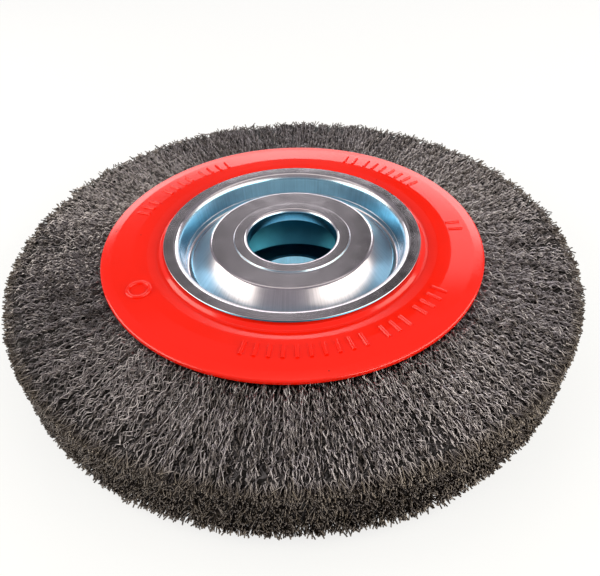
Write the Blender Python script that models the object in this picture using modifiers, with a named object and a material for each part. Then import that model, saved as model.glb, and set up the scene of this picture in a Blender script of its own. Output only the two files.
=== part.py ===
"""Wire wheel brush for a bench grinder, lying flat on its back hub flange.

A ring of crimped steel wire is folded over a round core ring and clamped between two pressed
side plates. Two pressed hub cups hold the plates: their flanges lie on the plates, the floors
of their channels are joined through a spacer ring, and their raised bosses carry the bore.
Lengths are in metres, +Z is the wheel axis, and the origin is on the axis at mid thickness.
"""

import math

import bpy

COLLECTION_NAME = "wire_wheel_brush"

# Whole wheel
WHEEL_RADIUS = 0.1000
RIM_HALF_WIDTH = 0.0108
BORE_RADIUS = 0.0160
CLEARANCE = 0.0003

# Hub cups, heights measured from the middle of the wheel
CUP_SHEET = 0.0012
CUP_INSIDE_BEND = 0.0004
CUP_MOUTH_RADIUS = 0.0403
CUP_FLANGE_WIDTH = 0.0054
CUP_FLANGE_HEIGHT = 0.0150
CHANNEL_FLOOR_HEIGHT = 0.0040
CHANNEL_FLOOR_WIDTH = 0.0027
CHANNEL_TAPER = 0.00155
CHANNEL_FILLET = 0.0020
BOSS_RADIUS = 0.0289
BOSS_HEIGHT = 0.01335
BORE_RING_WIDTH = 0.0048
BORE_RING_STEP = 0.00033
BORE_COLLAR_DEPTH = 0.00475

# Spacer ring between the channel floors
SPACER_WIDTH = 0.0022
LOWEST_LINE_SHARE = 0.64

# Side plates
PLATE_SHEET = 0.0010
PLATE_WIDTH = 0.0257
PLATE_HEIGHT = 0.01355
PLATE_LIP_DROP = 0.0015
PLATE_SEAT_MARGIN = 0.0006
PLATE_GROOVE_DEPTH = 0.0011
PLATE_GROOVE_SIDE = 0.0012
PLATE_GROOVE_FLOOR = 0.0009

# Wire fill and the ring that it is folded over
CORE_WIRE_RADIUS = 0.0025
FOLD_THICKNESS = 0.0008
FOLD_SLOT = 0.0010
CRIMP_COUNT = 6
CRIMP_SWAY = 0.0016
RIDGE_DEPTH = 0.0014
RIM_ROUNDING = 0.0016

# Facets around the axis and around the core ring
CUP_SEGMENTS = 36
PLATE_SEGMENTS = 48
RING_SEGMENTS = 40
FILL_SEGMENTS = 88
CORE_SIDES = 6
MERGE_DISTANCE = 0.00001
SHARP_ANGLE = math.radians(28.0)


def clear_objects():
    for old in list(bpy.data.objects):
        bpy.data.objects.remove(old, do_unlink=True)


def steel_finish(name, color, roughness, metallic):
    """A Principled material with one colour."""
    material = bpy.data.materials.new(name)
    material.use_nodes = True
    shader = material.node_tree.nodes["Principled BSDF"]
    shader.inputs["Base Color"].default_value = (*color, 1.0)
    shader.inputs["Roughness"].default_value = roughness
    shader.inputs["Metallic"].default_value = metallic
    return material


def rounded_outline(corners):
    """Points of a section from (radius, height, fillet, steps) corners.

    Each fillet is an arc that touches both sides of its corner, limited to half of the shorter side.
    Where two arcs meet in the middle of a side, they share one point.
    """
    points = []
    for index, (x, z, fillet, steps) in enumerate(corners):
        if fillet <= 0.0 or index in (0, len(corners) - 1):
            points.append((x, z))
            continue
        back_x = corners[index - 1][0] - x
        back_z = corners[index - 1][1] - z
        ahead_x = corners[index + 1][0] - x
        ahead_z = corners[index + 1][1] - z
        back_length = math.hypot(back_x, back_z)
        ahead_length = math.hypot(ahead_x, ahead_z)
        back_x, back_z = back_x / back_length, back_z / back_length
        ahead_x, ahead_z = ahead_x / ahead_length, ahead_z / ahead_length
        half_angle = math.acos(back_x * ahead_x + back_z * ahead_z) / 2.0
        reach = min(fillet / math.tan(half_angle), 0.5 * min(back_length, ahead_length))
        radius = reach * math.tan(half_angle)
        middle_x, middle_z = back_x + ahead_x, back_z + ahead_z
        middle_length = math.hypot(middle_x, middle_z)
        centre_distance = radius / math.sin(half_angle)
        centre_x = x + middle_x / middle_length * centre_distance
        centre_z = z + middle_z / middle_length * centre_distance
        start = math.atan2(z + back_z * reach - centre_z, x + back_x * reach - centre_x)
        end = math.atan2(z + ahead_z * reach - centre_z, x + ahead_x * reach - centre_x)
        turn = (end - start + math.pi) % (2.0 * math.pi) - math.pi
        for step in range(steps + 1):
            angle = start + turn * step / steps
            point = (centre_x + radius * math.cos(angle), centre_z + radius * math.sin(angle))
            if math.dist(point, points[-1]) > MERGE_DISTANCE:
                points.append(point)
    return points


def turned(name, outline, closed, segments, material):
    """An object whose section, drawn at +X, is turned about the wheel axis by a Screw modifier."""
    mesh = bpy.data.meshes.new(name)
    last = len(outline) if closed else len(outline) - 1
    edges = [(index, (index + 1) % len(outline)) for index in range(last)]
    mesh.from_pydata([(x, 0.0, z) for x, z in outline], edges, [])
    piece = bpy.data.objects.new(name, mesh)
    piece.data.materials.append(material)
    bpy.data.collections[COLLECTION_NAME].objects.link(piece)
    screw = piece.modifiers.new("Turned section", "SCREW")
    screw.axis = "Z"
    screw.angle = 2.0 * math.pi
    screw.steps = segments
    screw.render_steps = segments
    screw.use_merge_vertices = True
    screw.merge_threshold = MERGE_DISTANCE
    screw.use_smooth_shade = True
    return piece


def apply_modifiers(piece):
    """Gives the piece its evaluated mesh, shaded smooth between its sharp edges."""
    depsgraph = bpy.context.evaluated_depsgraph_get()
    mesh = bpy.data.meshes.new_from_object(piece.evaluated_get(depsgraph))
    piece.modifiers.clear()
    piece.data = mesh
    mesh.name = piece.name
    mesh.shade_smooth()
    mesh.set_sharp_from_angle(angle=SHARP_ANGLE)


def pressed_sheet(name, outline, side, sheet, segments, material):
    """A turned pressing on one side of the wheel, 1 for the front and -1 for the back.

    The outline is its outer face, and the sheet's thickness lies towards the middle of the wheel.
    """
    outline = [(x, side * z) for x, z in outline]
    piece = turned(name, outline, False, segments, material)
    solidify = piece.modifiers.new("Sheet thickness", "SOLIDIFY")
    solidify.thickness = sheet
    solidify.offset = -side
    solidify.use_even_offset = True
    solidify.use_rim = True
    apply_modifiers(piece)


def hub_cup_outline():
    """Outer face of a hub cup, from the end of the bore collar out to the edge of the flange."""
    outside_bend = CUP_SHEET + CUP_INSIDE_BEND
    ring_height = BOSS_HEIGHT + BORE_RING_STEP
    ring_radius = BORE_RADIUS + BORE_RING_WIDTH
    wall_foot = CUP_MOUTH_RADIUS - CHANNEL_TAPER
    boss_foot = wall_foot - CHANNEL_FLOOR_WIDTH
    return rounded_outline([
        (BORE_RADIUS, ring_height - BORE_COLLAR_DEPTH, 0.0, 0),
        (BORE_RADIUS, ring_height, outside_bend, 2),
        (ring_radius, ring_height, 0.0, 0),
        (ring_radius + BORE_RING_STEP, BOSS_HEIGHT, 0.0, 0),
        (BOSS_RADIUS, BOSS_HEIGHT, outside_bend, 2),
        (boss_foot, CHANNEL_FLOOR_HEIGHT, CHANNEL_FILLET, 2),
        (wall_foot, CHANNEL_FLOOR_HEIGHT, CHANNEL_FILLET, 2),
        (CUP_MOUTH_RADIUS, CUP_FLANGE_HEIGHT, outside_bend, 2),
        (CUP_MOUTH_RADIUS + CUP_FLANGE_WIDTH, CUP_FLANGE_HEIGHT, 0.0, 0),
    ])


def plate_hole_radius():
    """The plate's hole clears the back of the cup's channel wall."""
    return CUP_MOUTH_RADIUS + CUP_SHEET + CLEARANCE


def plate_radius():
    """The plate's outer radius, one plate width outside its hole."""
    return plate_hole_radius() + PLATE_WIDTH


def side_plate_outline():
    """Outer face of a side plate, from its hole under the cup flange out to its turned-down edge."""
    seat_height = CUP_FLANGE_HEIGHT - CUP_SHEET - CLEARANCE
    seat_end = CUP_MOUTH_RADIUS + CUP_FLANGE_WIDTH + PLATE_SEAT_MARGIN
    groove_height = PLATE_HEIGHT - PLATE_GROOVE_DEPTH
    groove_start = seat_end + PLATE_GROOVE_SIDE
    groove_end = groove_start + PLATE_GROOVE_FLOOR
    shoulder = groove_end + PLATE_GROOVE_SIDE
    return rounded_outline([
        (plate_hole_radius(), seat_height, 0.0, 0),
        (seat_end, seat_height, 0.0, 0),
        (groove_start, groove_height, 0.0, 0),
        (groove_end, groove_height, 0.0, 0),
        (shoulder, PLATE_HEIGHT, PLATE_GROOVE_SIDE, 1),
        (plate_radius(), PLATE_HEIGHT, PLATE_LIP_DROP, 2),
        (plate_radius(), PLATE_HEIGHT - PLATE_LIP_DROP, 0.0, 0),
    ])


def fold_radius():
    """Inner radius of the wire fill, clear of the channel walls."""
    return plate_hole_radius() + FOLD_THICKNESS


def core_hollow_radius():
    """Corner radius of the fold's six-sided hollow, whose flats clear the core ring."""
    return (CORE_WIRE_RADIUS + CLEARANCE) / math.cos(math.pi / 6.0)


def core_ring_radius():
    """Radius of the core ring's centre line, one fold outside the wire fill's inner face."""
    return fold_radius() + FOLD_THICKNESS + core_hollow_radius()


def fill_top_outline():
    """Top half of the wire fill's section, from its fold out along the crimped face to the rim."""
    lip_height = PLATE_HEIGHT - PLATE_LIP_DROP - CLEARANCE
    groove_underside = PLATE_HEIGHT - PLATE_GROOVE_DEPTH - PLATE_SHEET
    fold_height = groove_underside - 2.0 * CLEARANCE
    face_start = plate_radius()
    face_end = WHEEL_RADIUS - RIM_ROUNDING
    points = [(fold_radius(), fold_height)]
    for crimp in range(CRIMP_COUNT + 1):
        share = crimp / CRIMP_COUNT
        radius = face_start + (face_end - face_start) * share
        height = lip_height + (RIM_HALF_WIDTH - lip_height) * share
        points.append((radius, height))
    points.append((WHEEL_RADIUS, RIM_HALF_WIDTH - RIM_ROUNDING))
    return points


def fill_outline():
    """Closed section of the wire fill, with the hollow that the fold leaves round the core ring."""
    top = fill_top_outline()
    bottom = [(x, -z) for x, z in reversed(top)]
    hollow = core_hollow_radius()
    slot_angle = math.asin(FOLD_SLOT / 2.0 / hollow)
    sweep = 2.0 * (math.pi - slot_angle)
    fold = [(fold_radius(), -FOLD_SLOT / 2.0)]
    for side in range(CORE_SIDES + 1):
        angle = math.pi + slot_angle + sweep * side / CORE_SIDES
        fold.append((core_ring_radius() + hollow * math.cos(angle), hollow * math.sin(angle)))
    fold.append((fold_radius(), FOLD_SLOT / 2.0))
    return top + [(WHEEL_RADIUS, 0.0)] + bottom + fold


def crimp_fill(mesh):
    """Bends the fill's faces into rows of wavy ridges, one every two segments, straight at the rim."""
    face_start = plate_radius()
    face_end = WHEEL_RADIUS - RIM_ROUNDING
    for vertex in mesh.vertices:
        x, y, z = vertex.co
        radius = math.hypot(x, y)
        crimp = round((radius - face_start) / (face_end - face_start) * CRIMP_COUNT)
        if radius < face_start + MERGE_DISTANCE:
            continue
        angle = math.atan2(y, x)
        segment = round(angle / (2.0 * math.pi) * FILL_SEGMENTS)
        in_groove = segment % 2 == 1
        on_rim = radius > face_end + MERGE_DISTANCE
        if not on_rim and crimp < CRIMP_COUNT:
            angle += CRIMP_SWAY / radius * (1 if crimp % 2 else -1)
        if in_groove and on_rim:
            radius -= RIDGE_DEPTH
        elif in_groove:
            z -= math.copysign(RIDGE_DEPTH, z)
        vertex.co = (radius * math.cos(angle), radius * math.sin(angle), z)


def make_wire_fill(material):
    """The crimped wire as one closed ring, turned first and then crimped."""
    fill = turned("wire_fill", fill_outline(), True, FILL_SEGMENTS, material)
    apply_modifiers(fill)
    crimp_fill(fill.data)
    fill.data.set_sharp_from_angle(angle=SHARP_ANGLE)


def make_core_ring(material):
    """The round wire ring that holds every folded wire."""
    outline = []
    for side in range(CORE_SIDES):
        angle = math.pi / 2.0 - 2.0 * math.pi * side / CORE_SIDES
        x = core_ring_radius() + CORE_WIRE_RADIUS * math.cos(angle)
        outline.append((x, CORE_WIRE_RADIUS * math.sin(angle)))
    ring = turned("core_ring", outline, True, RING_SEGMENTS, material)
    apply_modifiers(ring)


def make_spacer_ring(material):
    """The ring that the two cups are joined through, under the lowest line of their channels."""
    wall_foot = CUP_MOUTH_RADIUS - CHANNEL_TAPER
    middle = wall_foot - CHANNEL_FLOOR_WIDTH * LOWEST_LINE_SHARE
    inner = middle - SPACER_WIDTH / 2.0
    outer = middle + SPACER_WIDTH / 2.0
    half_height = CHANNEL_FLOOR_HEIGHT - CUP_SHEET - CLEARANCE
    outline = [(outer, half_height), (outer, -half_height), (inner, -half_height), (inner, half_height)]
    ring = turned("spacer_ring", outline, True, RING_SEGMENTS, material)
    apply_modifiers(ring)


def make_hub_cups(material):
    for name, side in (("hub_cup_front", 1), ("hub_cup_back", -1)):
        pressed_sheet(name, hub_cup_outline(), side, CUP_SHEET, CUP_SEGMENTS, material)


def make_side_plates(material):
    for name, side in (("side_plate_front", 1), ("side_plate_back", -1)):
        pressed_sheet(name, side_plate_outline(), side, PLATE_SHEET, PLATE_SEGMENTS, material)


def main():
    clear_objects()
    collection = bpy.data.collections.new(COLLECTION_NAME)
    bpy.context.scene.collection.children.link(collection)
    make_hub_cups(steel_finish("zinc_plated_steel", (0.62, 0.66, 0.70), 0.25, 1.0))
    make_side_plates(steel_finish("red_enamelled_steel", (0.90, 0.02, 0.01), 0.25, 0.0))
    plain_steel = steel_finish("plain_steel", (0.30, 0.30, 0.31), 0.45, 1.0)
    make_spacer_ring(plain_steel)
    make_core_ring(plain_steel)
    make_wire_fill(steel_finish("crimped_steel_wire", (0.16, 0.15, 0.145), 0.40, 1.0))


main()
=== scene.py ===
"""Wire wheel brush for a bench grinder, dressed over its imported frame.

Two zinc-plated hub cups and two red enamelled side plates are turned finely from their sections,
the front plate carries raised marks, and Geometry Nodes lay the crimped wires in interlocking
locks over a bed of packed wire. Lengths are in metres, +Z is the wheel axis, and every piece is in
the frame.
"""

import math
from functools import partial

import bpy
from bpy.props import FloatProperty, FloatVectorProperty, IntProperty, PointerProperty
from mathutils import Matrix, Vector


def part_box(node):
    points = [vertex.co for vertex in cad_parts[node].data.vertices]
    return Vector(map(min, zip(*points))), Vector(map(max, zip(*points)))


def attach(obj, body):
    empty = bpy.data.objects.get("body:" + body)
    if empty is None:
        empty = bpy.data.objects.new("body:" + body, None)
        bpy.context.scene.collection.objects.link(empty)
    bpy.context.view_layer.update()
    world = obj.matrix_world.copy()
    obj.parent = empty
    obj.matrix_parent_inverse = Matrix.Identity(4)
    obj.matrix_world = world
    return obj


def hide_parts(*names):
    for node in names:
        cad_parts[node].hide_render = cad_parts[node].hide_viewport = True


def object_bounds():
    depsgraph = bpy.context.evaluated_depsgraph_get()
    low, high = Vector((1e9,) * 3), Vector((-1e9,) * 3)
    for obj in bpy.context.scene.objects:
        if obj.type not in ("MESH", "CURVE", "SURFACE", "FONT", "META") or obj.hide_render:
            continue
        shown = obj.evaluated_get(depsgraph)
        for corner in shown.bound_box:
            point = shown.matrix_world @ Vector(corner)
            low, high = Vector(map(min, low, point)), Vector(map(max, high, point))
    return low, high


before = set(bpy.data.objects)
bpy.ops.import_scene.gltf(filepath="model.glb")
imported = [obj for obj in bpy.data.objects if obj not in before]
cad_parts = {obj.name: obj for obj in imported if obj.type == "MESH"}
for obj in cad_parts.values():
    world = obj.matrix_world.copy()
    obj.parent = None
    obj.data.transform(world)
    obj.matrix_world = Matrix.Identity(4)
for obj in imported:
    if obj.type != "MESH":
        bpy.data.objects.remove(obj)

bl_info = {
    "name": "Wire wheel brush",
    "version": (1, 0, 0),
    "blender": (4, 5, 0),
    "location": "View3D > Sidebar > Brush",
    "description": "Builds a crimped wire wheel brush over its packed frame",
    "category": "Add Mesh",
}

BODY = "root"
MERGE_DISTANCE = 0.000001
SHARP_ANGLE = math.radians(30.0)
ARC_STEPS = 5
SIDES = {"front": 1, "back": -1}

# kinds of node that the trees use most
MATH = "ShaderNodeMath"
VECTOR_MATH = "ShaderNodeVectorMath"
WHOLE_MATH = "FunctionNodeIntegerMath"
MAP_RANGE = "ShaderNodeMapRange"
MIX = "ShaderNodeMix"
NOISE = "ShaderNodeTexNoise"
COMBINE = "ShaderNodeCombineXYZ"
SEPARATE = "ShaderNodeSeparateXYZ"
COORDINATES = "ShaderNodeTexCoord"
SURFACE = "ShaderNodeOutputMaterial"

CUP_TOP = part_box("hub_cup_front")[1]
PLATE_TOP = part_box("side_plate_front")[1]
FILL_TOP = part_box("wire_fill")[1]
FLOOR_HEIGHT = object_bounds()[0].z


def from_hex(code):
    """Linear red, green and blue of an sRGB hex colour."""
    channels = [int(code[start:start + 2], 16) / 255.0 for start in (1, 3, 5)]
    return [c / 12.92 if c <= 0.04045 else ((c + 0.055) / 1.055) ** 2.4 for c in channels]


def length(name, default, description):
    """A length property in metres."""
    return FloatProperty(name=name, default=default, description=description, unit="LENGTH", precision=5)


def colour(name, code, description):
    """A colour property whose default is an sRGB hex colour."""
    return FloatVectorProperty(
        name=name, default=from_hex(code), description=description, subtype="COLOR", min=0.0, max=1.0
    )


class HubCupSizes(bpy.types.PropertyGroup):
    """Section of one pressed hub cup, heights from the middle of the wheel"""

    sheet: length("Sheet", 0.0012, "Thickness of the pressed steel")
    bend: length("Bend", 0.0016, "Outside radius of the pressed bends")
    bore_radius: length("Bore radius", 0.0160, "Radius of the hole for the spindle or its bush")
    collar_depth: length("Collar depth", 0.00475, "How far the bore is turned inwards")
    ring_width: length("Ring width", 0.0048, "Width of the flattened ring round the bore")
    ring_step: length("Ring step", 0.00033, "Height of that ring above the boss")
    boss_radius: length("Boss radius", 0.0292, "Radius of the raised boss")
    boss_height: length("Boss height", 0.01335, "Height of the boss")
    boss_dish: length("Boss dish", 0.00026, "How much lower the boss is beside the ring than at its bend")
    boss_bend: length("Boss bend", 0.0018, "Outside radius of the bend round the boss")
    floor_height: length("Channel floor", 0.0050, "Height of the channel's floor")
    floor_width: length("Channel floor width", 0.0017, "Width of the channel's floor before its fillets")
    floor_fillet: length("Channel fillet", 0.0020, "Radius at the foot of the channel's walls")
    taper: length("Taper", 0.00155, "How far the outer wall leans out over its height")
    mouth_radius: length("Mouth radius", 0.0403, "Radius of the cup's mouth at its flange")
    mouth_bend: length("Mouth bend", 0.0026, "Outside radius of the bend at the mouth")
    crease_height: length("Crease height", 0.0070, "Height of the fine line that the die leaves")
    crease_step: length("Crease step", 0.00010, "Depth of that line")
    flange_radius: length("Flange radius", CUP_TOP.x, "Outer radius of the flange")
    flange_dish: length("Flange dish", 0.00015, "How much lower the flange is at its mouth")
    flange_height: length("Flange height", CUP_TOP.z, "Height of the flange's face")
    segments: IntProperty(name="Segments", default=128, description="Facets round the axis")


class SidePlateSizes(bpy.types.PropertyGroup):
    """Section of one side plate, and the marks that are raised on it"""

    sheet: length("Sheet", 0.0010, "Thickness of the plate")
    hole_radius: length("Hole radius", 0.0418, "Radius of the hole under the cup's flange")
    seat_height: length("Seat height", 0.0135, "Height of the ring that the cup's flange clamps")
    seat_radius: length("Seat radius", 0.0463, "Outer radius of that ring")
    groove_depth: length("Groove depth", 0.0009, "Depth of the groove beside the flange")
    groove_side: length("Groove side", 0.0012, "Width of each sloping side of the groove")
    groove_floor: length("Groove floor", 0.0009, "Width of the groove's floor")
    shoulder_radius: length("Shoulder radius", 0.0518, "Radius where the rise out of the groove ends")
    shoulder_drop: length("Shoulder drop", 0.00032, "How much lower than the face that place is")
    dish_radius: length("Dish radius", 0.0563, "Radius where the plate's shallow dish ends")
    lip_start: length("Lip start", 0.0638, "Radius where the outer edge starts to turn down")
    lip_fall: length("Lip fall", 0.00022, "How far the face falls before the lip's bend")
    lip_drop: length("Lip drop", 0.0015, "How far the outer edge is turned down")
    dish_bend: length("Dish bend", 0.0060, "Radius of the soft bends on both sides of the dish")
    lip_bend: length("Lip bend", 0.0080, "Radius of the soft bend where the lip starts")
    edge_bend: length("Edge bend", 0.0011, "Outside radius of the turned-down edge")
    outer_radius: length("Outer radius", PLATE_TOP.x, "Outer radius of the plate")
    height: length("Height", PLATE_TOP.z, "Height of the plate's face")
    segments: IntProperty(name="Segments", default=128, description="Facets round the axis")
    mark_length: length("Mark length", 0.0050, "Length of a mark across the plate")
    mark_width: length("Mark width", 0.0012, "Width of a mark at its foot")
    mark_pitch: length("Mark pitch", 0.0040, "Spacing of the marks along the plate")
    mark_rise: length("Mark rise", 0.00065, "Height of the marks above the plate")
    mark_ring_radius: length("Mark ring radius", 0.0036, "Radius of the plain ring among the marks")


class WireSizes(bpy.types.PropertyGroup):
    """The crimped wires and the bed of packed wire under them"""

    wire_radius: length("Wire radius", 0.00023, "Radius of one wire")
    crimp_pitch: length("Crimp pitch", 0.0042, "Length of one wave of the crimp")
    crimp_height: length("Crimp height", 0.0011, "Half the height of the crimp's waves")
    plate_edge: length("Plate edge", PLATE_TOP.x, "Radius where the wires come out from under the plate")
    wheel_radius: length("Wheel radius", FILL_TOP.x, "Radius that the longest wires reach")
    tip_spread: length("Tip spread", 0.0013, "How much shorter most wires are than the few longest")
    plate_height: length("Height at the plate", 0.0115, "Half thickness of the fill at the plate's edge")
    rim_height: length("Height at the rim", 0.0110, "Half thickness of the fill at the rim")
    layer_depth: length("Layer depth", 0.0024, "Depth of the loose outer layer of wires")
    lean: length("Lean", 0.0025, "How far a wire's tip leans to one side at most")
    settle: length("Settle", 0.0010, "How much deeper than its neighbours a lock lies at most")
    dive: length("Dive", 0.0010, "How much deeper the hidden end of a wire lies")
    flare: length("Flare", 0.0018, "How far past the face the tips at the rim spread at most")
    bed_depth: length("Bed depth", 0.0024, "Depth of the packed wire below the faces")
    rim_depth: length("Rim depth", 0.0032, "Depth of the packed wire below the tips at the rim")
    lock_count: IntProperty(name="Locks", default=140, description="Locks of wires round the wheel")
    seed: IntProperty(name="Seed", default=7, description="Seed of the wires' random places")


class BrushColours(bpy.types.PropertyGroup):
    """Colours of the finishes, with painted shade and painted reflection in some of them.

    The bed and the zinc inside are painted shade, and the blue zinc is partly a painted reflection.
    """

    zinc: colour("Zinc", "#E6DCE3", "Bright zinc where the cup is flat")
    # partly the blue zinc film and partly a painted reflection of bluish light, given to the walls
    blue_film_and_painted_reflection: colour("Blue zinc", "#A4E4FF", "Blue film on the drawn walls")
    # painted shade: this dark blue green stands for the dim inside of the hollow cups
    zinc_inside_painted_shade: colour("Zinc inside", "#4A9FBA", "Dull plating inside the cups")
    enamel: colour("Enamel", "#FA1D06", "Red enamel of the side plates")
    wire: colour("Wire", "#BDB4B6", "Drawn steel of the wires")
    wire_dark: colour("Dark wire", "#635B59", "Oxide left on part of the wires")
    # a darker, browner colour for the last few millimetres of the wires at the rim
    wire_rim: colour("Rim wire", "#6C6258", "Brown oxide on the wires' cut ends")
    # painted shade: the nearly black of wire deep in the brush, where little light reaches
    bed: colour("Bed", "#191614", "Shadowed wire deep in the brush")
    steel: colour("Steel", "#8C8C8E", "Plain drawn steel")
    floor: colour("Floor", "#F4F3F1", "Pale floor")


def add_node(tree, kind, inputs=(), **settings):
    """Adds a node to a tree, with its settings and its inputs' values or links. Gives its outputs.

    The inputs are a list in the node's own order, or a dictionary by their names or numbers.
    """
    node = tree.nodes.new(kind)
    for name, value in settings.items():
        setattr(node, name, value)
    for key, value in inputs.items() if isinstance(inputs, dict) else enumerate(inputs):
        if isinstance(value, bpy.types.NodeSocket):
            tree.links.new(value, node.inputs[key])
        else:
            node.inputs[key].default_value = value
    return node.outputs


def new_material(name):
    """A material with an empty tree, and the function that adds a node to that tree."""
    material = bpy.data.materials.new(name)
    material.use_nodes = True
    material.node_tree.nodes.clear()
    return material, partial(add_node, material.node_tree)


def finish_material(material, node, sockets):
    """Ends a material with the shader that has these values and links on its sockets."""
    shader = node("ShaderNodeBsdfPrincipled", sockets)
    node(SURFACE, [shader[0]])
    return material


def from_axis(node, place):
    """A place's distance from the wheel's axis, and the direction that runs out to it."""
    split = node(SEPARATE, [place])
    flat = node(COMBINE, [split[0], split[1]])[0]
    radius = node(VECTOR_MATH, [flat], operation="LENGTH")["Value"]
    return radius, node(VECTOR_MATH, [flat], operation="NORMALIZE")[0]


def both_sides(node, angle, reach):
    """How far some reach at some angle goes along the angle's zero, and across it."""
    shares = [node(MATH, [angle], operation=side)[0] for side in ("COSINE", "SINE")]
    return [node(MATH, [share, reach], operation="MULTIPLY")[0] for share in shares]


def crimp_sway(node, waves, height):
    """How far the crimp carries a wire off its middle line after a number of waves."""
    swing = node(MATH, [waves, 2.0 * math.pi], operation="MULTIPLY")[0]
    wave = node(MATH, [swing], operation="SINE")[0]
    return node(MATH, [wave, height], operation="MULTIPLY")[0]


def shaded(node, base, shade):
    """A colour made darker by a shade from 0 to 1."""
    tone = node(COMBINE, [shade, shade, shade])[0]
    return node(MIX, {0: 1.0, 6: base, 7: tone}, data_type="RGBA", blend_type="MULTIPLY")[2]


def zinc_plated_steel(colours):
    """Bright zinc plating on a drawn pressing.

    It gives the eye a soft mirror: fine rings where the press flattened it, faint streaks down the
    drawn walls, and a pale blue that is stronger on the walls than on the flats, partly the blue zinc
    film and partly a painted reflection of bluish light.
    """
    material, node = new_material("zinc_plated_drawn_steel")
    coordinates = node(COORDINATES)
    place = coordinates["Object"]
    radius, around = from_axis(node, place)
    tilt = node(SEPARATE, [coordinates["Normal"]])[2]
    upright = node(MATH, [tilt], operation="ABSOLUTE")[0]
    on_flat = node(MAP_RANGE, {0: upright, 1: 0.90, 2: 0.98})[0]
    off_wall = node(MAP_RANGE, {0: upright, 1: 0.30, 2: 0.68})[0]
    # turned rings about 0.25 mm apart, coarser than the real ones so that they show
    rings = node(NOISE, {"W": radius, "Scale": 4000.0, "Detail": 2.0}, noise_dimensions="1D")[0]
    # drawing streaks about 0.6 mm wide at the mouth, running down the walls
    streaks = node(NOISE, {"Vector": around, "Scale": 60.0, "Detail": 3.0, "Roughness": 0.6})[0]
    # handling marks and cloudy plating, 5 to 10 mm across
    clouds = node(NOISE, {"Vector": place, "Scale": 150.0, "Detail": 5.0, "Roughness": 0.6})[0]
    pattern = node(MIX, {0: on_flat, 2: streaks, 3: rings}, data_type="FLOAT")[0]
    # painted reflection: the walls take more of the blue than the flats, by their tilt, over the blue
    # zinc film
    blue, bright = (*colours.blue_film_and_painted_reflection, 1.0), (*colours.zinc, 1.0)
    film = node(MIX, {0: off_wall, 6: blue, 7: bright}, data_type="RGBA")[2]
    worn = node(MAP_RANGE, {0: clouds, 1: 0.3, 2: 0.75, 3: 0.86, 4: 1.0})[0]
    lined = node(MAP_RANGE, {0: pattern, 1: 0.3, 2: 0.7, 3: 0.80, 4: 1.0})[0]
    shade = node(MATH, [worn, lined], operation="MULTIPLY")[0]
    base = shaded(node, film, shade)
    # the flats are polished, the boss's slope is duller, and the walls lie between
    polish = node(MAP_RANGE, {0: clouds, 1: 0.3, 2: 0.7, 3: 0.11, 4: 0.18})[0]
    slope = node(MAP_RANGE, {0: upright, 1: 0.75, 2: 0.95, 3: 0.31, 4: 0.0})[0]
    duller = node(MATH, [polish, slope], operation="MAXIMUM")[0]
    roughness = node(MIX, {0: off_wall, 2: 0.19, 3: duller}, data_type="FLOAT")[0]
    # reflections stretch across the turned rings, and round the axis across the drawing streaks
    circling = node(VECTOR_MATH, [(0.0, 0.0, 1.0), around], operation="CROSS_PRODUCT")[0]
    grain = node(MIX, {0: off_wall, 4: circling, 5: around}, data_type="VECTOR")[1]
    bump = node("ShaderNodeBump", {"Strength": 0.25, "Distance": 0.00002, "Height": pattern})[0]
    return finish_material(material, node, {
        "Base Color": base,
        "Metallic": 1.0,
        "Roughness": roughness,
        "Anisotropic": 0.6,
        "Tangent": grain,
        "Normal": bump,
    })


def dull_zinc_in_painted_shade(colours):
    """The plating inside a pressing, where no tool rubbed it.

    It gives the eye a dull blue green, darkened as painted shade inside the hollow cups, with cloudy
    patches and no clear reflection.
    """
    material, node = new_material("dull_zinc_inside_pressing_in_painted_shade")
    place = node(COORDINATES)["Object"]
    clouds = node(NOISE, {"Vector": place, "Scale": 120.0, "Detail": 4.0})[0]
    # painted shade of the hollow: the colour is dark already, and the cloudy patches go down to under
    # half of it
    darker = [channel * 0.45 for channel in colours.zinc_inside_painted_shade]
    base = node(MIX, {0: clouds, 6: (*darker, 1.0), 7: (*colours.zinc_inside_painted_shade, 1.0)}, data_type="RGBA")[2]
    return finish_material(material, node, {"Base Color": base, "Metallic": 1.0, "Roughness": 0.32})


def red_enamel(colours):
    """Stoved red enamel on pressed sheet.

    It gives the eye a deep glossy red with a slight orange peel and a few dust specks.
    """
    material, node = new_material("red_stoving_enamel")
    place = node(COORDINATES)["Object"]
    # orange peel, waves about 1.5 mm long
    peel = node(NOISE, {"Vector": place, "Scale": 650.0, "Detail": 1.0})[0]
    # specks about 0.3 mm across, one every few square centimetres
    specks = node("ShaderNodeTexVoronoi", {"Vector": place, "Scale": 130.0}, feature="F1")["Distance"]
    speck = node(MAP_RANGE, {0: specks, 1: 0.030, 2: 0.045, 3: 0.5, 4: 1.0})[0]
    film = node(NOISE, {"Vector": place, "Scale": 45.0, "Detail": 3.0})[0]
    depth = node(MAP_RANGE, {0: film, 1: 0.3, 2: 0.7, 3: 0.93, 4: 1.0})[0]
    shade = node(MATH, [speck, depth], operation="MULTIPLY")[0]
    base = shaded(node, (*colours.enamel, 1.0), shade)
    bump = node("ShaderNodeBump", {"Strength": 0.15, "Distance": 0.00003, "Height": peel})[0]
    return finish_material(material, node, {"Base Color": base, "Roughness": 0.12, "Normal": bump})


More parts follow.
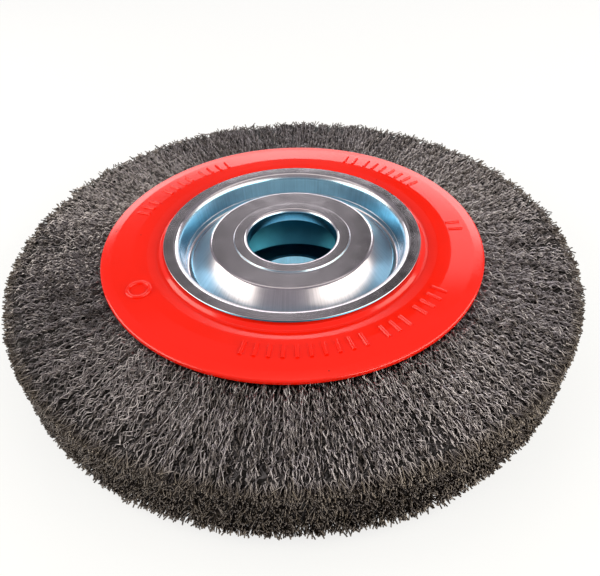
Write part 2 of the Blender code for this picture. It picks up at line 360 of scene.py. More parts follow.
def crimped_wire(colours):
    """Hard drawn steel wire, crimped in gears and not polished.

    It gives the eye a grey metal with brown and violet oxide that changes from wire to wire.
    """
    material, node = new_material("crimped_drawn_steel_wire")
    tone = node("ShaderNodeAttribute", attribute_name="wire_tone")["Fac"]
    place = node(COORDINATES)["Object"]
    patches = node(NOISE, {"Vector": place, "Scale": 400.0, "Detail": 2.0})[0]
    oxide = node(MATH, [tone, patches], operation="MULTIPLY")[0]
    share = node(MAP_RANGE, {0: oxide, 1: 0.1, 2: 0.5})[0]
    clean, dark = (*colours.wire, 1.0), (*colours.wire_dark, 1.0)
    mixed = node(MIX, {0: share, 6: clean, 7: dark}, data_type="RGBA")[2]
    # darker and browner on the last few millimetres of the wires, towards the rim
    radius, _ = from_axis(node, place)
    at_rim = node(MAP_RANGE, {0: radius, 1: 0.0950, 2: 0.0985, 4: 0.80})[0]
    base = node(MIX, {0: at_rim, 6: mixed, 7: (*colours.wire_rim, 1.0)}, data_type="RGBA")[2]
    return finish_material(material, node, {"Base Color": base, "Metallic": 1.0, "Roughness": 0.32})


def packed_wire_in_painted_shade(colours, wires):
    """Wire packed so deep that little light reaches it.

    It gives the eye crimped strands half a millimetre apart, in painted shade: grey on their crests
    and nearly black between them, which run out from the axis on the faces and end as dots at the rim.
    """
    material, node = new_material("packed_steel_wire_bed_in_painted_shade")
    place = node(COORDINATES)["Object"]
    split = node(SEPARATE, [place])
    radius, around = from_axis(node, place)
    angle = node(MATH, [split[1], split[0]], operation="ARCTAN2")[0]
    shift = node(NOISE, {"Vector": around, "Scale": 40.0, "Detail": 2.0})[0]
    waves = node(MATH, [radius, 1.0 / wires.crimp_pitch, shift], operation="MULTIPLY_ADD")[0]
    sway = crimp_sway(node, waves, wires.crimp_height)
    sideways = node(MATH, [sway, radius], operation="DIVIDE")[0]
    bearing = node(MATH, [angle, sideways], operation="ADD")[0]
    # a circle of 150 strands' radius puts neighbours 0.55 mm apart at the middle of the face
    x, y = both_sides(node, bearing, 150.0)
    # a strand changes every 3.3 mm along its length, and the dots at the rim every 0.55 mm
    run = node(MATH, [radius, 300.0], operation="MULTIPLY")[0]
    level = node(MATH, [split[2], 1800.0, run], operation="MULTIPLY_ADD")[0]
    strand_place = node(COMBINE, [x, y, level])[0]
    strands = node(NOISE, {"Vector": strand_place, "Scale": 1.0, "Detail": 1.0})[0]
    # painted shade: the gaps between strands take the nearly black bed colour, the crests the wire's
    # colour at three tenths
    crest = node(MAP_RANGE, {0: strands, 1: 0.45, 2: 0.72})[0]
    shaded_crest_colour = [channel * 0.3 for channel in colours.wire]
    base = node(MIX, {0: crest, 6: (*colours.bed, 1.0), 7: (*shaded_crest_colour, 1.0)}, data_type="RGBA")[2]
    bump = node("ShaderNodeBump", {"Strength": 0.8, "Distance": 0.0004, "Height": strands})[0]
    return finish_material(material, node, {
        "Base Color": base,
        "Metallic": 0.8,
        "Roughness": 0.5,
        "Normal": bump,
    })


def drawn_steel(colours):
    """Plain drawn steel of the rings inside.

    It gives the eye a grey metal with a slightly mottled mill surface.
    """
    material, node = new_material("plain_drawn_steel")
    place = node(COORDINATES)["Object"]
    mill = node(NOISE, {"Vector": place, "Scale": 300.0, "Detail": 3.0})[0]
    roughness = node(MAP_RANGE, {0: mill, 3: 0.35, 4: 0.6})[0]
    base = (*colours.steel, 1.0)
    return finish_material(material, node, {"Base Color": base, "Metallic": 1.0, "Roughness": roughness})


def pale_floor(colours):
    """A pale matt floor, white to the camera and in reflections, that keeps the brush's shadow."""
    material, node = new_material("pale_matt_floor")
    rays = node("ShaderNodeLightPath")
    seen = node(MATH, [rays["Is Camera Ray"], rays["Is Glossy Ray"]], operation="ADD")[0]
    seen = node(MATH, [seen, rays["Is Transmission Ray"]], operation="ADD", use_clamp=True)[0]
    # what is not this bright white is the matt floor with the shadow on it
    share = node(MATH, [seen, 0.68], operation="MULTIPLY")[0]
    matt = node("ShaderNodeBsdfDiffuse", [(*colours.floor, 1.0)])[0]
    white = node("ShaderNodeEmission", [(1.0, 1.0, 1.0, 1.0), 1.05])[0]
    mixed = node("ShaderNodeMixShader", [share, matt, white])[0]
    node(SURFACE, [mixed])
    return material


def white_backdrop():
    """A white card behind the brush, seen in the enamel and the zinc.

    Its white ends at 0.65 m in the middle and higher at its sides, most on the right, where it also
    reaches 1.1 m dimly. Above that it is grey, and darker away from the middle, most on the right.
    """
    material, node = new_material("white_backdrop")
    place = node(COORDINATES)["Object"]
    x, _, z = node(SEPARATE, [place])
    leftward = node(MATH, [x, -0.6], operation="MULTIPLY")[0]
    aside = node(MATH, [x, leftward], operation="MAXIMUM")[0]
    rise = node(MAP_RANGE, {0: aside, 1: 0.15, 2: 0.75, 3: 0.0, 4: 0.27})[0]
    below = node(MATH, [z, rise], operation="SUBTRACT")[0]
    middle = node(MAP_RANGE, {0: below, 1: 0.64, 2: 0.665, 3: 3.6, 4: 0.0})[0]
    dim = node(MAP_RANGE, {0: z, 1: 0.42, 2: 0.57, 3: 0.45, 4: 1.0})[0]
    middle = node(MATH, [middle, dim], operation="MULTIPLY")[0]
    right = node(MAP_RANGE, {0: x, 1: 0.36, 2: 0.42, 3: 0.0, 4: 1.4})[0]
    top = node(MAP_RANGE, {0: z, 1: 1.05, 2: 1.12, 3: 1.0, 4: 0.0})[0]
    side = node(MATH, [right, top], operation="MULTIPLY")[0]
    light = node(MATH, [middle, side], operation="MAXIMUM")[0]
    off_middle = node(MATH, [x], operation="ABSOLUTE")[0]
    grey = node(MAP_RANGE, {0: off_middle, 1: 0.08, 2: 0.22, 3: 0.31, 4: 0.16})[0]
    rightmost = node(MAP_RANGE, {0: x, 1: 0.07, 2: 0.22, 3: 0.31, 4: 0.04})[0]
    grey = node(MATH, [grey, rightmost], operation="MINIMUM")[0]
    light = node(MATH, [light, grey], operation="MAXIMUM")[0]
    white = node("ShaderNodeEmission", [(1.0, 1.0, 1.0, 1.0), light])[0]
    node(SURFACE, [white])
    return material


def rounded_outline(corners):
    """Section points from (radius, height, fillet) corners, each fillet an arc of a few steps."""
    points = []
    for index, (x, z, fillet) in enumerate(corners):
        corner = Vector((x, z))
        if fillet == 0.0:
            points.append(corner)
            continue
        back = Vector(corners[index - 1][:2]) - corner
        ahead = Vector(corners[index + 1][:2]) - corner
        half_angle = back.angle(ahead) / 2.0
        reach = min(fillet / math.tan(half_angle), 0.499 * min(back.length, ahead.length))
        radius = reach * math.tan(half_angle)
        middle = (back.normalized() + ahead.normalized()).normalized()
        centre = corner + middle * radius / math.sin(half_angle)
        first = corner + back.normalized() * reach - centre
        last = corner + ahead.normalized() * reach - centre
        start = math.atan2(first.y, first.x)
        turn = (math.atan2(last.y, last.x) - start + math.pi) % (2.0 * math.pi) - math.pi
        for step in range(ARC_STEPS + 1):
            angle = start + turn * step / ARC_STEPS
            points.append(centre + radius * Vector((math.cos(angle), math.sin(angle))))
    return points


def plain_mesh(piece):
    """Gives a piece its evaluated mesh and removes its modifiers."""
    depsgraph = bpy.context.evaluated_depsgraph_get()
    mesh = bpy.data.meshes.new_from_object(piece.evaluated_get(depsgraph), depsgraph=depsgraph)
    piece.modifiers.clear()
    piece.data = mesh
    mesh.name = piece.name


def new_object(name, data):
    """An object in the scene's own collection."""
    made = bpy.data.objects.new(name, data)
    bpy.context.scene.collection.objects.link(made)
    return made


def turned_piece(name, outline, side, sheet, segments, materials):
    """A section turned about the axis on one side of the wheel.

    A sheet thickness makes it a pressing whose second material is on its inner face.
    """
    mesh = bpy.data.meshes.new(name)
    edges = [(index, index + 1) for index in range(len(outline) - 1)]
    mesh.from_pydata([(point.x, 0.0, side * point.y) for point in outline], edges, [])
    for material in materials:
        mesh.materials.append(material)
    piece = new_object(name, mesh)
    screw = piece.modifiers.new("Turned section", "SCREW")
    screw.steps = segments
    screw.render_steps = segments
    screw.use_merge_vertices = True
    screw.merge_threshold = MERGE_DISTANCE
    screw.use_normal_flip = side < 0
    if sheet:
        solidify = piece.modifiers.new("Sheet thickness", "SOLIDIFY")
        solidify.thickness = sheet
        solidify.offset = -1.0
        solidify.use_even_offset = True
        solidify.material_offset = len(materials) - 1
    plain_mesh(piece)
    piece.data.shade_smooth()
    piece.data.set_sharp_from_angle(angle=SHARP_ANGLE)
    # the wide flats keep their own normals beside the narrow facets of the bends
    weighted = piece.modifiers.new("Weighted normals", "WEIGHTED_NORMAL")
    weighted.keep_sharp = True
    plain_mesh(piece)
    return piece


def set_in_frame(piece, slot_name, *nodes):
    """Lets a finished piece ride on the body and stand for its CAD nodes.

    Its slot name is not used.
    """
    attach(piece, BODY)
    if nodes:
        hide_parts(*nodes)


def both_pressings(finish, part, slot_name, outline, sizes, materials):
    """The same pressing on the two sides of the wheel, each in the place of its CAD node."""
    for side_name, side in SIDES.items():
        node_name = part + "_" + side_name
        name = finish + "_" + node_name
        piece = turned_piece(name, outline, side, sizes.sheet, sizes.segments, materials)
        set_in_frame(piece, slot_name, node_name)


def hub_cup_outline(cup):
    """Outer face of a hub cup, from the end of the bore collar out to the edge of the flange."""
    ring_height = cup.boss_height + cup.ring_step
    ring_radius = cup.bore_radius + cup.ring_width
    wall_foot = cup.mouth_radius - cup.taper
    boss_foot = wall_foot - cup.floor_width
    rise = cup.flange_height - cup.floor_height
    crease_radius = wall_foot + cup.taper * (cup.crease_height - cup.floor_height) / rise
    return rounded_outline([
        (cup.bore_radius, ring_height - cup.collar_depth, 0.0),
        (cup.bore_radius, ring_height, cup.bend),
        (ring_radius, ring_height, 0.5 * cup.ring_step),
        (ring_radius + cup.ring_step, cup.boss_height - cup.boss_dish, 0.5 * cup.ring_step),
        (cup.boss_radius, cup.boss_height, cup.boss_bend),
        (boss_foot, cup.floor_height, cup.floor_fillet),
        (wall_foot, cup.floor_height, cup.floor_fillet),
        (crease_radius, cup.crease_height, 0.0),
        (crease_radius + cup.crease_step, cup.crease_height + cup.crease_step, 0.0),
        (cup.mouth_radius, cup.flange_height - cup.flange_dish, cup.mouth_bend),
        (cup.flange_radius - cup.crease_step, cup.flange_height, 0.0),
        (cup.flange_radius, cup.flange_height - cup.crease_step, 0.0),
    ])


def side_plate_outline(plate):
    """Outer face of a side plate, from its hole under the cup flange out to its turned-down edge."""
    groove_height = plate.height - plate.groove_depth
    groove_start = plate.seat_radius + plate.groove_side
    groove_end = groove_start + plate.groove_floor
    return rounded_outline([
        (plate.hole_radius, plate.seat_height, 0.0),
        (plate.seat_radius, plate.seat_height, 0.5 * plate.groove_side),
        (groove_start, groove_height, 0.5 * plate.groove_side),
        (groove_end, groove_height, 0.5 * plate.groove_side),
        (plate.shoulder_radius, plate.height - plate.shoulder_drop, plate.dish_bend),
        (plate.dish_radius, plate.height, plate.dish_bend),
        (plate.lip_start, plate.height, plate.lip_bend),
        (plate.outer_radius, plate.height - plate.lip_fall, plate.edge_bend),
        (plate.outer_radius, plate.height - plate.lip_drop, 0.0),
    ])


def wire_bed_outline(wires):
    """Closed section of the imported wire, below the loose layers on the faces and at the rim."""
    inner = CUP_TOP.x
    plate_height = wires.plate_height - wires.bed_depth
    rim_height = wires.rim_height - 0.5 * wires.bed_depth
    rim = wires.wheel_radius - wires.rim_depth
    return rounded_outline([
        (inner, -plate_height, 0.0),
        (inner, plate_height, 0.0),
        (wires.plate_edge, plate_height, 0.0),
        (rim, rim_height, 0.5 * wires.rim_depth),
        (rim, -rim_height, 0.5 * wires.rim_depth),
        (wires.plate_edge, -plate_height, 0.0),
        (inner, -plate_height, 0.0),
    ])


def tree_with_inputs(name, counts, measures):
    """A Geometry Nodes tree with named inputs, the function that adds a node to it, and those inputs."""
    tree = bpy.data.node_groups.new(name, "GeometryNodeTree")
    for labels, kind in ((counts, "NodeSocketInt"), (measures, "NodeSocketFloat")):
        for label in labels:
            tree.interface.new_socket(label, in_out="INPUT", socket_type=kind)
    tree.interface.new_socket("Geometry", in_out="OUTPUT", socket_type="NodeSocketGeometry")
    node = partial(add_node, tree)
    return tree, node, node("NodeGroupInput")


def three_chances(node, number, seed):
    """Three random numbers from 0 to 1 for each whole number."""
    given = {"Min": (0.0, 0.0, 0.0), "Max": (1.0, 1.0, 1.0), "ID": number, "Seed": seed}
    chance = node("FunctionNodeRandomValue", given, data_type="FLOAT_VECTOR")[0]
    return node(SEPARATE, [chance])


def finish_tree(node, geometry, material):
    """Shades a tree's geometry smooth, makes its instances real and gives them their material."""
    smooth = node("GeometryNodeSetShadeSmooth", {"Geometry": geometry})[0]
    real = node("GeometryNodeRealizeInstances", {"Geometry": smooth})[0]
    dressed = node("GeometryNodeSetMaterial", {"Geometry": real, "Material": material})[0]
    node("NodeGroupOutput", [dressed])


def crimped_wire_tree(wires, material):
    """Node tree that lays a ring of crimped wires in locks, from its named inputs."""
    counts = ("Wires", "Points per Wire", "Seed")
    radii = ("Root Radius", "Root Spread", "Tip Radius", "Tip Spread")
    depths = ("Side", "Layer Depth", "Root Dive", "Tip Dive", "Lock Pull")
    tree, node, given = tree_with_inputs("Crimped wire ring", counts, radii + depths)
    turn = 2.0 * math.pi
    # each wire is a run of points, numbered along its length
    index = node("GeometryNodeInputIndex")[0]
    wire = node(WHOLE_MATH, [index, given["Points per Wire"]], operation="DIVIDE_FLOOR")[0]
    step = node(WHOLE_MATH, [index, given["Points per Wire"]], operation="MODULO")[0]
    last = node(WHOLE_MATH, [given["Points per Wire"], 1], operation="SUBTRACT")[0]
    along = node(MATH, [step, last], operation="DIVIDE")[0]
    # nine random numbers for each wire
    chances = []
    for shift in range(3):
        seed = node(WHOLE_MATH, [given["Seed"], shift], operation="ADD")[0]
        chances += three_chances(node, wire, seed)
    place_chance, depth_chance, tip_chance, phase_chance, height_chance, roll_chance = chances[:6]
    root_chance, pitch_chance, lean_chance = chances[6:]
    # the wire's angle round the wheel, up to three even spacings past its own place
    spot = node(MATH, [place_chance, 3.0, wire], operation="MULTIPLY_ADD")[0]
    share = node(MATH, [spot, given["Wires"]], operation="DIVIDE")[0]
    angle = node(MATH, [share, turn], operation="MULTIPLY")[0]
    around_x, around_y = both_sides(node, angle, 1.0)
    around = node(COMBINE, [around_x, around_y])[0]
    # locks of uneven width, because a slow noise moves their borders by up to eight locks
    wander = node(NOISE, {"Vector": around, "Scale": 9.0, "Detail": 1.0})[0]
    even_lock = node(MATH, [share, float(wires.lock_count)], operation="MULTIPLY")[0]
    lock = node(MATH, [wander, 8.0, even_lock], operation="MULTIPLY_ADD")[0]
    lock_id = node("FunctionNodeFloatToInt", [lock], rounding_mode="FLOOR")[0]
    lock_phase, lock_depth, lock_short = three_chances(node, lock_id, wires.seed)
    # distance from the axis: most tips end nearer to the shortest than to the longest
    root_shift = node(MATH, [root_chance, given["Root Spread"]], operation="MULTIPLY")[0]
    root = node(MATH, [given["Root Radius"], root_shift], operation="SUBTRACT")[0]
    mostly_short = node(MATH, [tip_chance, 0.5], operation="POWER")[0]
    short = node(MATH, [lock_short, 0.3, mostly_short], operation="MULTIPLY_ADD")[0]
    shortfall = node(MATH, [short, given["Tip Spread"]], operation="MULTIPLY")[0]
    tip = node(MATH, [given["Tip Radius"], shortfall], operation="SUBTRACT")[0]
    radius = node(MIX, {0: along, 2: root, 3: tip}, data_type="FLOAT")[0]
    outward = node(MAP_RANGE, {0: radius, 1: wires.plate_edge, 2: wires.wheel_radius})[0]
    # the locks draw their wires together towards the rim
    in_lock = node(MATH, [lock], operation="FRACT")[0]
    off_centre = node(MATH, [in_lock, 0.5], operation="SUBTRACT")[0]
    grip = node(MATH, [outward, given["Lock Pull"]], operation="MULTIPLY")[0]
    pulled = node(MATH, [off_centre, grip], operation="MULTIPLY")[0]
    back = node(MATH, [pulled, turn / wires.lock_count], operation="MULTIPLY")[0]
    gathered = node(MATH, [angle, back], operation="SUBTRACT")[0]
    # the crimp's phase drifts slowly round the wheel, so that neighbours nest and crests line up
    drift = node(NOISE, {"Vector": around, "Scale": 5.0, "Detail": 1.0})[0]
    near_phase = node(MATH, [lock_phase, 0.35, phase_chance], operation="MULTIPLY_ADD")[0]
    mixed_phase = node(MATH, [near_phase, 0.5], operation="MULTIPLY")[0]
    own_phase = node(MATH, [drift, 6.0, mixed_phase], operation="MULTIPLY_ADD")[0]
    pitch = node(MAP_RANGE, {0: pitch_chance, 3: 0.9 * wires.crimp_pitch, 4: 1.1 * wires.crimp_pitch})[0]
    waves = node(MATH, [radius, pitch], operation="DIVIDE")[0]
    phase = node(MATH, [waves, own_phase], operation="ADD")[0]
    least, most = 0.7 * wires.crimp_height, 1.3 * wires.crimp_height
    height = node(MAP_RANGE, {0: height_chance, 3: least, 4: most})[0]
    sway = crimp_sway(node, phase, height)
    # the plane of the crimp stands up from the wheel's face at 45 to 135 degrees
    roll = node(MAP_RANGE, {0: roll_chance, 3: math.radians(45.0), 4: math.radians(135.0)})[0]
    across, up = both_sides(node, roll, sway)
    # each wire leans to one side, most at its tip
    lean = node(MAP_RANGE, {0: lean_chance, 3: -wires.lean, 4: wires.lean})[0]
    leaning = node(MATH, [lean, along, across], operation="MULTIPLY_ADD")[0]
    sideways = node(MATH, [leaning, radius], operation="DIVIDE")[0]
    bearing = node(MATH, [gathered, sideways], operation="ADD")[0]
    # height above the middle of the wheel
    face = node(MAP_RANGE, {0: outward, 3: wires.plate_height, 4: wires.rim_height})[0]
    depth = node(MATH, [depth_chance, given["Layer Depth"]], operation="MULTIPLY")[0]
    settled = node(MAP_RANGE, {0: lock_depth, 3: 0.0, 4: wires.settle})[0]
    root_share = node(MAP_RANGE, {0: along, 1: 0.0, 2: 0.3, 3: 1.0, 4: 0.0})[0]
    root_dive = node(MATH, [root_share, given["Root Dive"], depth], operation="MULTIPLY_ADD")[0]
    # the tips dive, or flare out past the face, by uneven amounts
    tip_share = node(MAP_RANGE, {0: along, 1: 0.5, 2: 1.0, 4: pitch_chance})[0]
    dives = node(MATH, [tip_share, given["Tip Dive"], root_dive], operation="MULTIPLY_ADD")[0]
    sunk = node(MATH, [dives, settled], operation="ADD")[0]
    level = node(MATH, [face, sunk], operation="SUBTRACT")[0]
    raised = node(MATH, [level, up], operation="ADD")[0]
    sided = node(MATH, [raised, given["Side"]], operation="MULTIPLY")[0]
    # place of each point
    x, y = both_sides(node, bearing, radius)
    place = node(COMBINE, [x, y, sided])[0]
    count = node(WHOLE_MATH, [given["Wires"], given["Points per Wire"]], operation="MULTIPLY")[0]
    points = node("GeometryNodePoints", {"Count": count, "Position": place})[0]
    tone = {"Geometry": points, "Name": "wire_tone", "Value": height_chance}
    toned = node("GeometryNodeStoreNamedAttribute", tone, data_type="FLOAT", domain="POINT")[0]
    wire_points = {"Points": toned, "Curve Group ID": wire, "Weight": along}
    lines = node("GeometryNodePointsToCurves", wire_points)[0]
    three_sided = {"Resolution": 3, "Radius": wires.wire_radius}
    section = node("GeometryNodeCurvePrimitiveCircle", three_sided, mode="RADIUS")[0]
    tube = {"Curve": lines, "Profile Curve": section, "Fill Caps": True}
    tubes = node("GeometryNodeCurveToMesh", tube)[0]
    finish_tree(node, tubes, material)
    return tree


def plate_mark_tree(material):
    """Node tree that raises a row of plain bars along a plate, from its named inputs."""
    places = ("Start Angle", "Pitch", "Radius", "Height")
    sizes = ("Mark Length", "Mark Width", "Mark Rise")
    tree, node, given = tree_with_inputs("Row of raised marks", ("Marks",), places + sizes)
    half = node(MATH, [given["Mark Length"], 0.5], operation="MULTIPLY")[0]
    start = node(MATH, [given["Radius"], half], operation="SUBTRACT")[0]
    end = node(MATH, [given["Radius"], half], operation="ADD")[0]
    start_place = node(COMBINE, [start])[0]
    end_place = node(COMBINE, [end])[0]
    ends = {"Start": start_place, "End": end_place}
    line = node("GeometryNodeCurvePrimitiveLine", ends, mode="POINTS")[0]
    run = node("GeometryNodeResampleCurve", {"Curve": line, "Count": 7}, mode="COUNT")[0]
    # the ends of a bar are rounded off by the eighth power of the way from its middle
    along = node("GeometryNodeSplineParameter")["Factor"]
    power = node(MAP_RANGE, {0: along, 3: -1.0, 4: 1.0})[0]
    for _ in range(3):
        power = node(MATH, [power, power], operation="MULTIPLY")[0]
    taper = node(MAP_RANGE, {0: power, 3: 1.0, 4: 0.35})[0]
    tapered = node("GeometryNodeSetCurveRadius", {"Curve": run, "Radius": taper})[0]
    section = node("GeometryNodeCurvePrimitiveCircle", {"Resolution": 8, "Radius": 0.5}, mode="RADIUS")[0]
    rise = node(MATH, [given["Mark Rise"], 2.0], operation="MULTIPLY")[0]
    stretch = node(COMBINE, [rise, given["Mark Width"], 1.0])[0]
    oval = node("GeometryNodeTransform", {"Geometry": section, "Scale": stretch})[0]
    bar = node("GeometryNodeCurveToMesh", {"Curve": tapered, "Profile Curve": oval, "Fill Caps": True})[0]
    # one bar at each step of the pitch round the axis
    index = node("GeometryNodeInputIndex")[0]
    step = node(MATH, [given["Pitch"], given["Radius"]], operation="DIVIDE")[0]
    angle = node(MATH, [index, step, given["Start Angle"]], operation="MULTIPLY_ADD")[0]
    raised = node(COMBINE, {2: given["Height"]})[0]
    spots = node("GeometryNodePoints", {"Count": given["Marks"], "Position": raised})[0]
    turned_to = node(COMBINE, {2: angle})[0]
    laid_out = {"Points": spots, "Instance": bar, "Rotation": turned_to}
    row = node("GeometryNodeInstanceOnPoints", laid_out)[0]
    finish_tree(node, row, material)
    return tree


def grown_piece(name, tree, inputs):
    """A plain mesh that a node tree makes from inputs given by name."""
    piece = new_object(name, bpy.data.meshes.new(name))
    modifier = piece.modifiers.new(tree.name, "NODES")
    modifier.node_group = tree
    for item in tree.interface.items_tree:
        if item.in_out == "INPUT":
            modifier[item.identifier] = inputs[item.name]
    plain_mesh(piece)
    return piece


class BRUSH_OT_hub_cups(bpy.types.Operator):
    """Turns the two zinc-plated hub cups from their section"""

    bl_idname = "brush.hub_cups"
    bl_label = "Hub cups"

    def execute(self, context):
        cup = context.scene.hub_cup
        colours = context.scene.brush_colours
        materials = [zinc_plated_steel(colours), dull_zinc_in_painted_shade(colours)]
        both_pressings("pressed", "hub_cup", "zinc_plated_steel", hub_cup_outline(cup), cup, materials)
        return {"FINISHED"}


class BRUSH_OT_side_plates(bpy.types.Operator):
    """Turns the two red side plates from their section"""

    bl_idname = "brush.side_plates"
    bl_label = "Side plates"

    def execute(self, context):
        plate = context.scene.side_plate
        outline = side_plate_outline(plate)
        materials = [red_enamel(context.scene.brush_colours)]
        both_pressings("enamelled", "side_plate", "red_enamelled_steel", outline, plate, materials)
        return {"FINISHED"}


class BRUSH_OT_plate_marks(bpy.types.Operator):
    """Raises rows of plain bars on the front side plate"""

    bl_idname = "brush.plate_marks"
    bl_label = "Plate marks"

    # name, azimuth of the first bar in degrees, radius of the row, number of bars
    ROWS = (
        ("near", -106.0, 0.0567, 10),
        ("near_middle", -62.5, 0.0567, 3),
        ("near_right", -47.5, 0.0567, 4),
        ("left", 117.0, 0.0590, 4),
        ("far_left", 135.0, 0.0590, 4),
        ("farthest_left", 155.0, 0.0590, 3),
        ("right", 33.0, 0.0592, 7),
        ("right_end", 61.5, 0.0592, 2),
        ("far_right", 0.0, 0.0592, 2),
    )
    # azimuth and radius of the middle of the plain ring
    RING_AZIMUTH, RING_PLACE = -151.6, 0.0572
    RING_SEGMENTS = 32

    def execute(self, context):
        plate = context.scene.side_plate
        enamel = bpy.data.materials["red_stoving_enamel"]
        tree = plate_mark_tree(enamel)
        for name, azimuth, radius, count in self.ROWS:
            piece = grown_piece("plate_marks_" + name, tree, {
                "Marks": count,
                "Start Angle": math.radians(azimuth),
                "Pitch": plate.mark_pitch,
                "Radius": radius,
                "Height": plate.height,
                "Mark Length": plate.mark_length,
                "Mark Width": plate.mark_width,
                "Mark Rise": plate.mark_rise,
            })
            set_in_frame(piece, "red_enamelled_steel")
        half = plate.mark_width / 2.0
        inside, outside = plate.mark_ring_radius - half, plate.mark_ring_radius + half
        foot, top = plate.height - 0.5 * plate.mark_rise, plate.height + plate.mark_rise
        section = rounded_outline(
            [(inside, foot, 0.0), (inside, top, half), (outside, top, half), (outside, foot, 0.0)]
        )
        ring = turned_piece("plate_mark_ring", section, 1, 0.0, self.RING_SEGMENTS, [enamel])
        place = Vector((self.RING_PLACE, 0.0, 0.0))
        place.rotate(Matrix.Rotation(math.radians(self.RING_AZIMUTH), 3, "Z"))
        ring.data.transform(Matrix.Translation(place))
        set_in_frame(ring, "red_enamelled_steel")
        return {"FINISHED"}


class BRUSH_OT_inner_rings(bpy.types.Operator):
    """Finishes the core ring and the spacer ring, which keep their CAD shape"""

    bl_idname = "brush.inner_rings"
    bl_label = "Inner rings"

    def execute(self, context):
        steel = drawn_steel(context.scene.brush_colours)
        for name in ("core_ring", "spacer_ring"):
            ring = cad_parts[name]
            for slot in ring.material_slots:
                slot.material = steel
        return {"FINISHED"}


class BRUSH_OT_wire_bed(bpy.types.Operator):
    """Turns the bed of packed wire that lies under the loose wires"""

    bl_idname = "brush.wire_bed"
    bl_label = "Wire bed"

    SEGMENTS = 128

    def execute(self, context):
        wires = context.scene.brush_wires
        packed = [packed_wire_in_painted_shade(context.scene.brush_colours, wires)]
        bed = turned_piece("packed_wire_bed", wire_bed_outline(wires), 1, 0.0, self.SEGMENTS, packed)
        set_in_frame(bed, "crimped_steel_wire", "wire_fill")
        return {"FINISHED"}


class BRUSH_OT_wires(bpy.types.Operator):
    """Lays the crimped wires of both faces and of the rim"""

    bl_idname = "brush.wires"
    bl_label = "Crimped wires"

    # name, side, number of wires, points of each wire, radii of the root and tip, and their spreads
    FACE_LAYERS = (
        ("wires_front_inner", 1, 2800, 11, 0.0660, 0.0810, 0.0035, 0.0040),
        ("wires_front_middle", 1, 3050, 11, 0.0770, 0.0920, 0.0040, 0.0040),
        ("wires_front_outer", 1, 3150, 11, 0.0875, 0.1000, 0.0040, 0.0011),
        ("wires_back_inner", -1, 1600, 9, 0.0660, 0.0845, 0.0035, 0.0030),
        ("wires_back_outer", -1, 2100, 9, 0.0840, 0.1000, 0.0040, 0.0011),
    )
    RIM_WIRES, RIM_POINTS, RIM_ROOT, RIM_ROOT_SPREAD = 17500, 2, 0.0962, 0.0005
    # how far a lock closes up at the rim, as a share of its width
    LOCK_PULL = 0.52

    def lay(self, tree, wires, number, name, settings):
        """Makes one layer, with a seed of its own and the pull that all layers share."""
        settings["Seed"] = wires.seed + 10 * number
        settings["Lock Pull"] = self.LOCK_PULL
        piece = grown_piece(name, tree, settings)
        set_in_frame(piece, "crimped_steel_wire", "wire_fill")

    def execute(self, context):
        wires = context.scene.brush_wires
        tree = crimped_wire_tree(wires, crimped_wire(context.scene.brush_colours))
        for number, layer in enumerate(self.FACE_LAYERS):
            name, side, count, points, root, tip, root_spread, tip_spread = layer
            self.lay(tree, wires, number, name, {
                "Wires": count,
                "Points per Wire": points,
                "Side": float(side),
                "Root Radius": root,
                "Root Spread": root_spread,
                "Tip Radius": tip,
                "Tip Spread": tip_spread,
                "Layer Depth": wires.layer_depth,
                "Root Dive": wires.dive if root > wires.plate_edge else 0.0,
                "Tip Dive": 2.0 * wires.dive if tip < wires.wheel_radius else -wires.flare,
            })
        self.lay(tree, wires, len(self.FACE_LAYERS), "wires_rim", {
            "Wires": self.RIM_WIRES,
            "Points per Wire": self.RIM_POINTS,
            "Side": 1.0,
            "Root Radius": self.RIM_ROOT,
            "Root Spread": self.RIM_ROOT_SPREAD,
            "Tip Radius": wires.wheel_radius,
            "Tip Spread": wires.tip_spread,
            "Layer Depth": 2.0 * wires.rim_height,
            "Root Dive": 0.0,
            "Tip Dive": 0.0,
        })
        return {"FINISHED"}


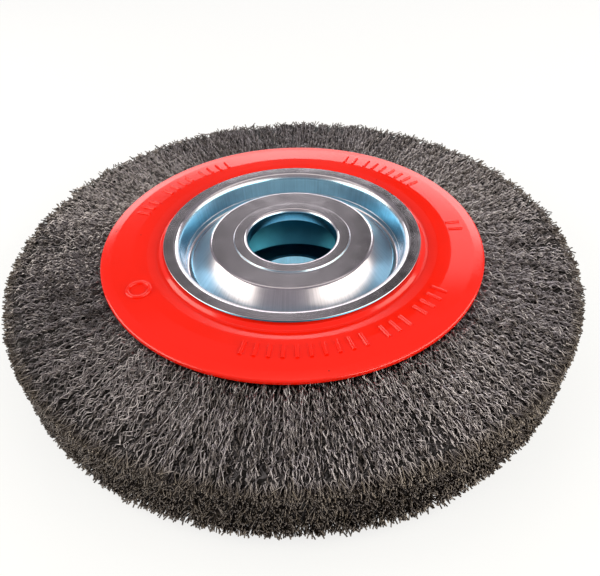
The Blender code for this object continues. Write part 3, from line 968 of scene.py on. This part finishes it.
class BRUSH_OT_stage(bpy.types.Operator):
    """Makes the floor, the backdrop, the lamps, the world and the camera"""

    bl_idname = "brush.stage"
    bl_label = "Stage"

    FLOOR_SIZE = 6.0
    CARD_WIDTH, CARD_HEIGHT, CARD_DISTANCE = 1.5, 1.2, 1.2
    # place, width and depth, and power of each lamp
    LAMPS = {
        "left_lamp": ((-0.530, -0.055, 0.28), (0.62, 0.40), 2.9),
        "right_lamp": ((0.490, -0.220, 0.28), (1.00, 0.40), 4.2),
        "back_lamp": ((0.0, 0.220, 0.74), (0.90, 0.28), 0.6),
    }
    LAMP_COLOUR, ROOM_COLOUR = (1.0, 0.99, 0.86), (0.31, 0.30, 0.32, 1.0)
    # lens and place solved from the circles of the photograph, image 600 by 576 pixels
    FOCAL_PIXELS, IMAGE_WIDTH, SENSOR_WIDTH = 560.0, 600.0, 36.0
    CAMERA_PLACE = (0.0, -0.16485, 0.13261)
    CAMERA_PAN, CAMERA_PITCH, CAMERA_ROLL = 0.819, 41.304, -1.688

    def flat_sheet(self, name, width, depth, matrix, material):
        """A rectangle on the stage."""
        x, y = width / 2.0, depth / 2.0
        mesh = bpy.data.meshes.new(name)
        mesh.from_pydata([(-x, -y, 0.0), (x, -y, 0.0), (x, y, 0.0), (-x, y, 0.0)], [], [(0, 1, 2, 3)])
        mesh.transform(matrix)
        mesh.materials.append(material)
        new_object(name, mesh)

    def soft_lamp(self, name, place, size, power):
        """A large lamp, aimed at the middle of the brush."""
        light = bpy.data.lights.new(name, "AREA")
        light.shape = "RECTANGLE"
        light.size, light.size_y = size
        light.energy = power
        light.color = self.LAMP_COLOUR
        lamp = new_object(name, light)
        lamp.location = place
        lamp.rotation_euler = (-lamp.location).to_track_quat("-Z", "Y").to_euler()

    def camera_matrix(self):
        """The camera's place and turn: pan about the vertical, pitch down, then roll."""
        pan = math.radians(self.CAMERA_PAN)
        pitch = math.radians(self.CAMERA_PITCH)
        roll = math.radians(self.CAMERA_ROLL)
        level = math.cos(pitch)
        ahead = Vector((math.sin(pan) * level, math.cos(pan) * level, -math.sin(pitch)))
        right = Vector((math.cos(pan), -math.sin(pan), 0.0))
        up = right.cross(ahead)
        rolled_right = math.cos(roll) * right + math.sin(roll) * up
        rolled_up = math.cos(roll) * up - math.sin(roll) * right
        matrix = Matrix((rolled_right, rolled_up, -ahead)).transposed().to_4x4()
        matrix.translation = self.CAMERA_PLACE
        return matrix

    def execute(self, context):
        scene = context.scene
        floor = pale_floor(scene.brush_colours)
        floor_place = Matrix.Translation((0.0, 0.0, FLOOR_HEIGHT))
        self.flat_sheet("floor", self.FLOOR_SIZE, self.FLOOR_SIZE, floor_place, floor)
        card_place = Matrix.Translation((0.0, self.CARD_DISTANCE, self.CARD_HEIGHT / 2.0))
        standing = card_place @ Matrix.Rotation(math.pi / 2.0, 4, "X")
        self.flat_sheet("backdrop", self.CARD_WIDTH, self.CARD_HEIGHT, standing, white_backdrop())
        for name, (place, size, power) in self.LAMPS.items():
            self.soft_lamp(name, place, size, power)
        world = bpy.data.worlds.new("soft_grey_room")
        world.use_nodes = True
        sky = world.node_tree.nodes["Background"]
        sky.inputs["Color"].default_value = self.ROOM_COLOUR
        scene.world = world
        camera = bpy.data.cameras.new("photo_camera")
        camera.sensor_fit = "HORIZONTAL"
        camera.sensor_width = self.SENSOR_WIDTH
        camera.lens = self.FOCAL_PIXELS / self.IMAGE_WIDTH * self.SENSOR_WIDTH
        camera.clip_start = 0.01
        scene.camera = new_object("photo_camera", camera)
        scene.camera.matrix_world = self.camera_matrix()
        scene.view_settings.view_transform = "Standard"
        return {"FINISHED"}


OPERATORS = (
    BRUSH_OT_hub_cups,
    BRUSH_OT_side_plates,
    BRUSH_OT_plate_marks,
    BRUSH_OT_inner_rings,
    BRUSH_OT_wire_bed,
    BRUSH_OT_wires,
    BRUSH_OT_stage,
)


class BRUSH_PT_builder(bpy.types.Panel):
    """Lists the operators that build the brush"""

    bl_label = "Wire wheel brush"
    bl_idname = "BRUSH_PT_builder"
    bl_space_type = "VIEW_3D"
    bl_region_type = "UI"
    bl_category = "Brush"

    def draw(self, context):
        for operator in OPERATORS:
            self.layout.operator(operator.bl_idname)


SETTINGS = {
    "hub_cup": HubCupSizes,
    "side_plate": SidePlateSizes,
    "brush_wires": WireSizes,
    "brush_colours": BrushColours,
}


CLASSES = (*SETTINGS.values(), *OPERATORS, BRUSH_PT_builder)


def register():
    for entry in CLASSES:
        bpy.utils.register_class(entry)
    for name, settings in SETTINGS.items():
        setattr(bpy.types.Scene, name, PointerProperty(type=settings))


def unregister():
    for name in SETTINGS:
        delattr(bpy.types.Scene, name)
    for entry in reversed(CLASSES):
        bpy.utils.unregister_class(entry)


def main():
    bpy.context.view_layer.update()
    register()
    bpy.ops.brush.hub_cups()
    bpy.ops.brush.side_plates()
    bpy.ops.brush.plate_marks()
    bpy.ops.brush.inner_rings()
    bpy.ops.brush.wire_bed()
    bpy.ops.brush.wires()
    bpy.ops.brush.stage()


if __name__ == "__main__":
    main()
